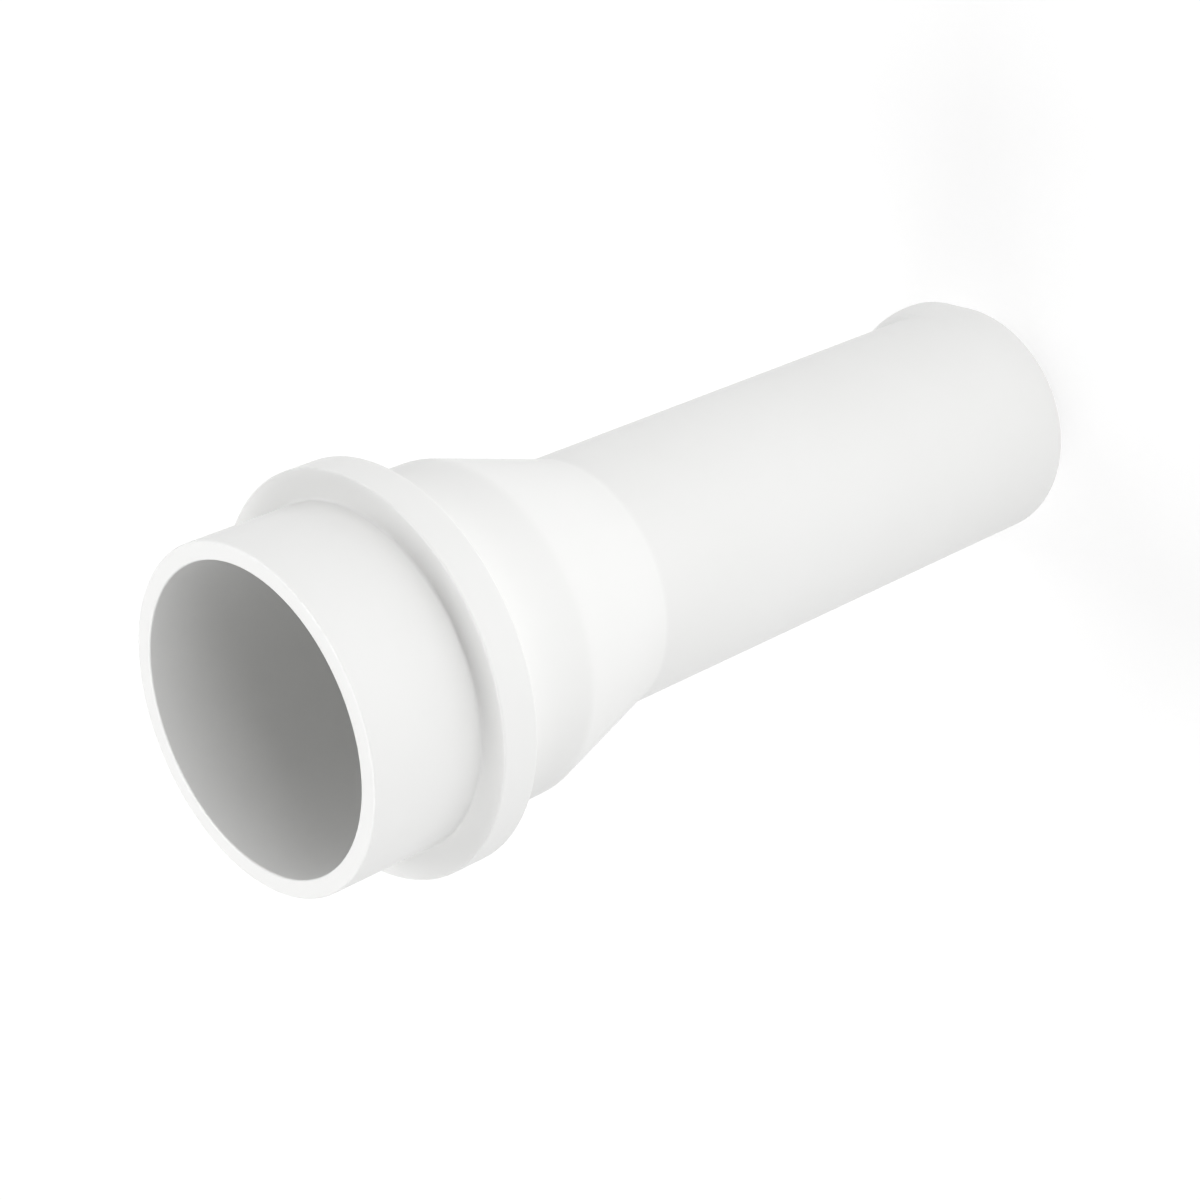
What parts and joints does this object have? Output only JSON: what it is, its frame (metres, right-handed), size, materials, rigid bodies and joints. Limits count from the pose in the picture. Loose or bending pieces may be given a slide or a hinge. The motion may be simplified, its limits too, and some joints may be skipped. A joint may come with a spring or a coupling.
{
  "type": "connecting pipe",
  "caption": "Moulded plastic connecting pipe: a flanged spigot narrowing through a cone to a plain tube with a crescent lug at its end, carrying water from a cistern or waste.",
  "frame": {"origin": "centre of the tube's axis on the plain end face, on which the pipe stands", "axes": "+Z along the pipe's axis towards the spigot mouth, +X towards the crescent lug"},
  "size_m": [0.0697, 0.0696, 0.1757],
  "materials": {
    "white_plastic": "satin moulded, undecorated"
  },
  "bodies": {
    "root": {"connecting_pipe": "white_plastic"}
  },
  "joints": []
}
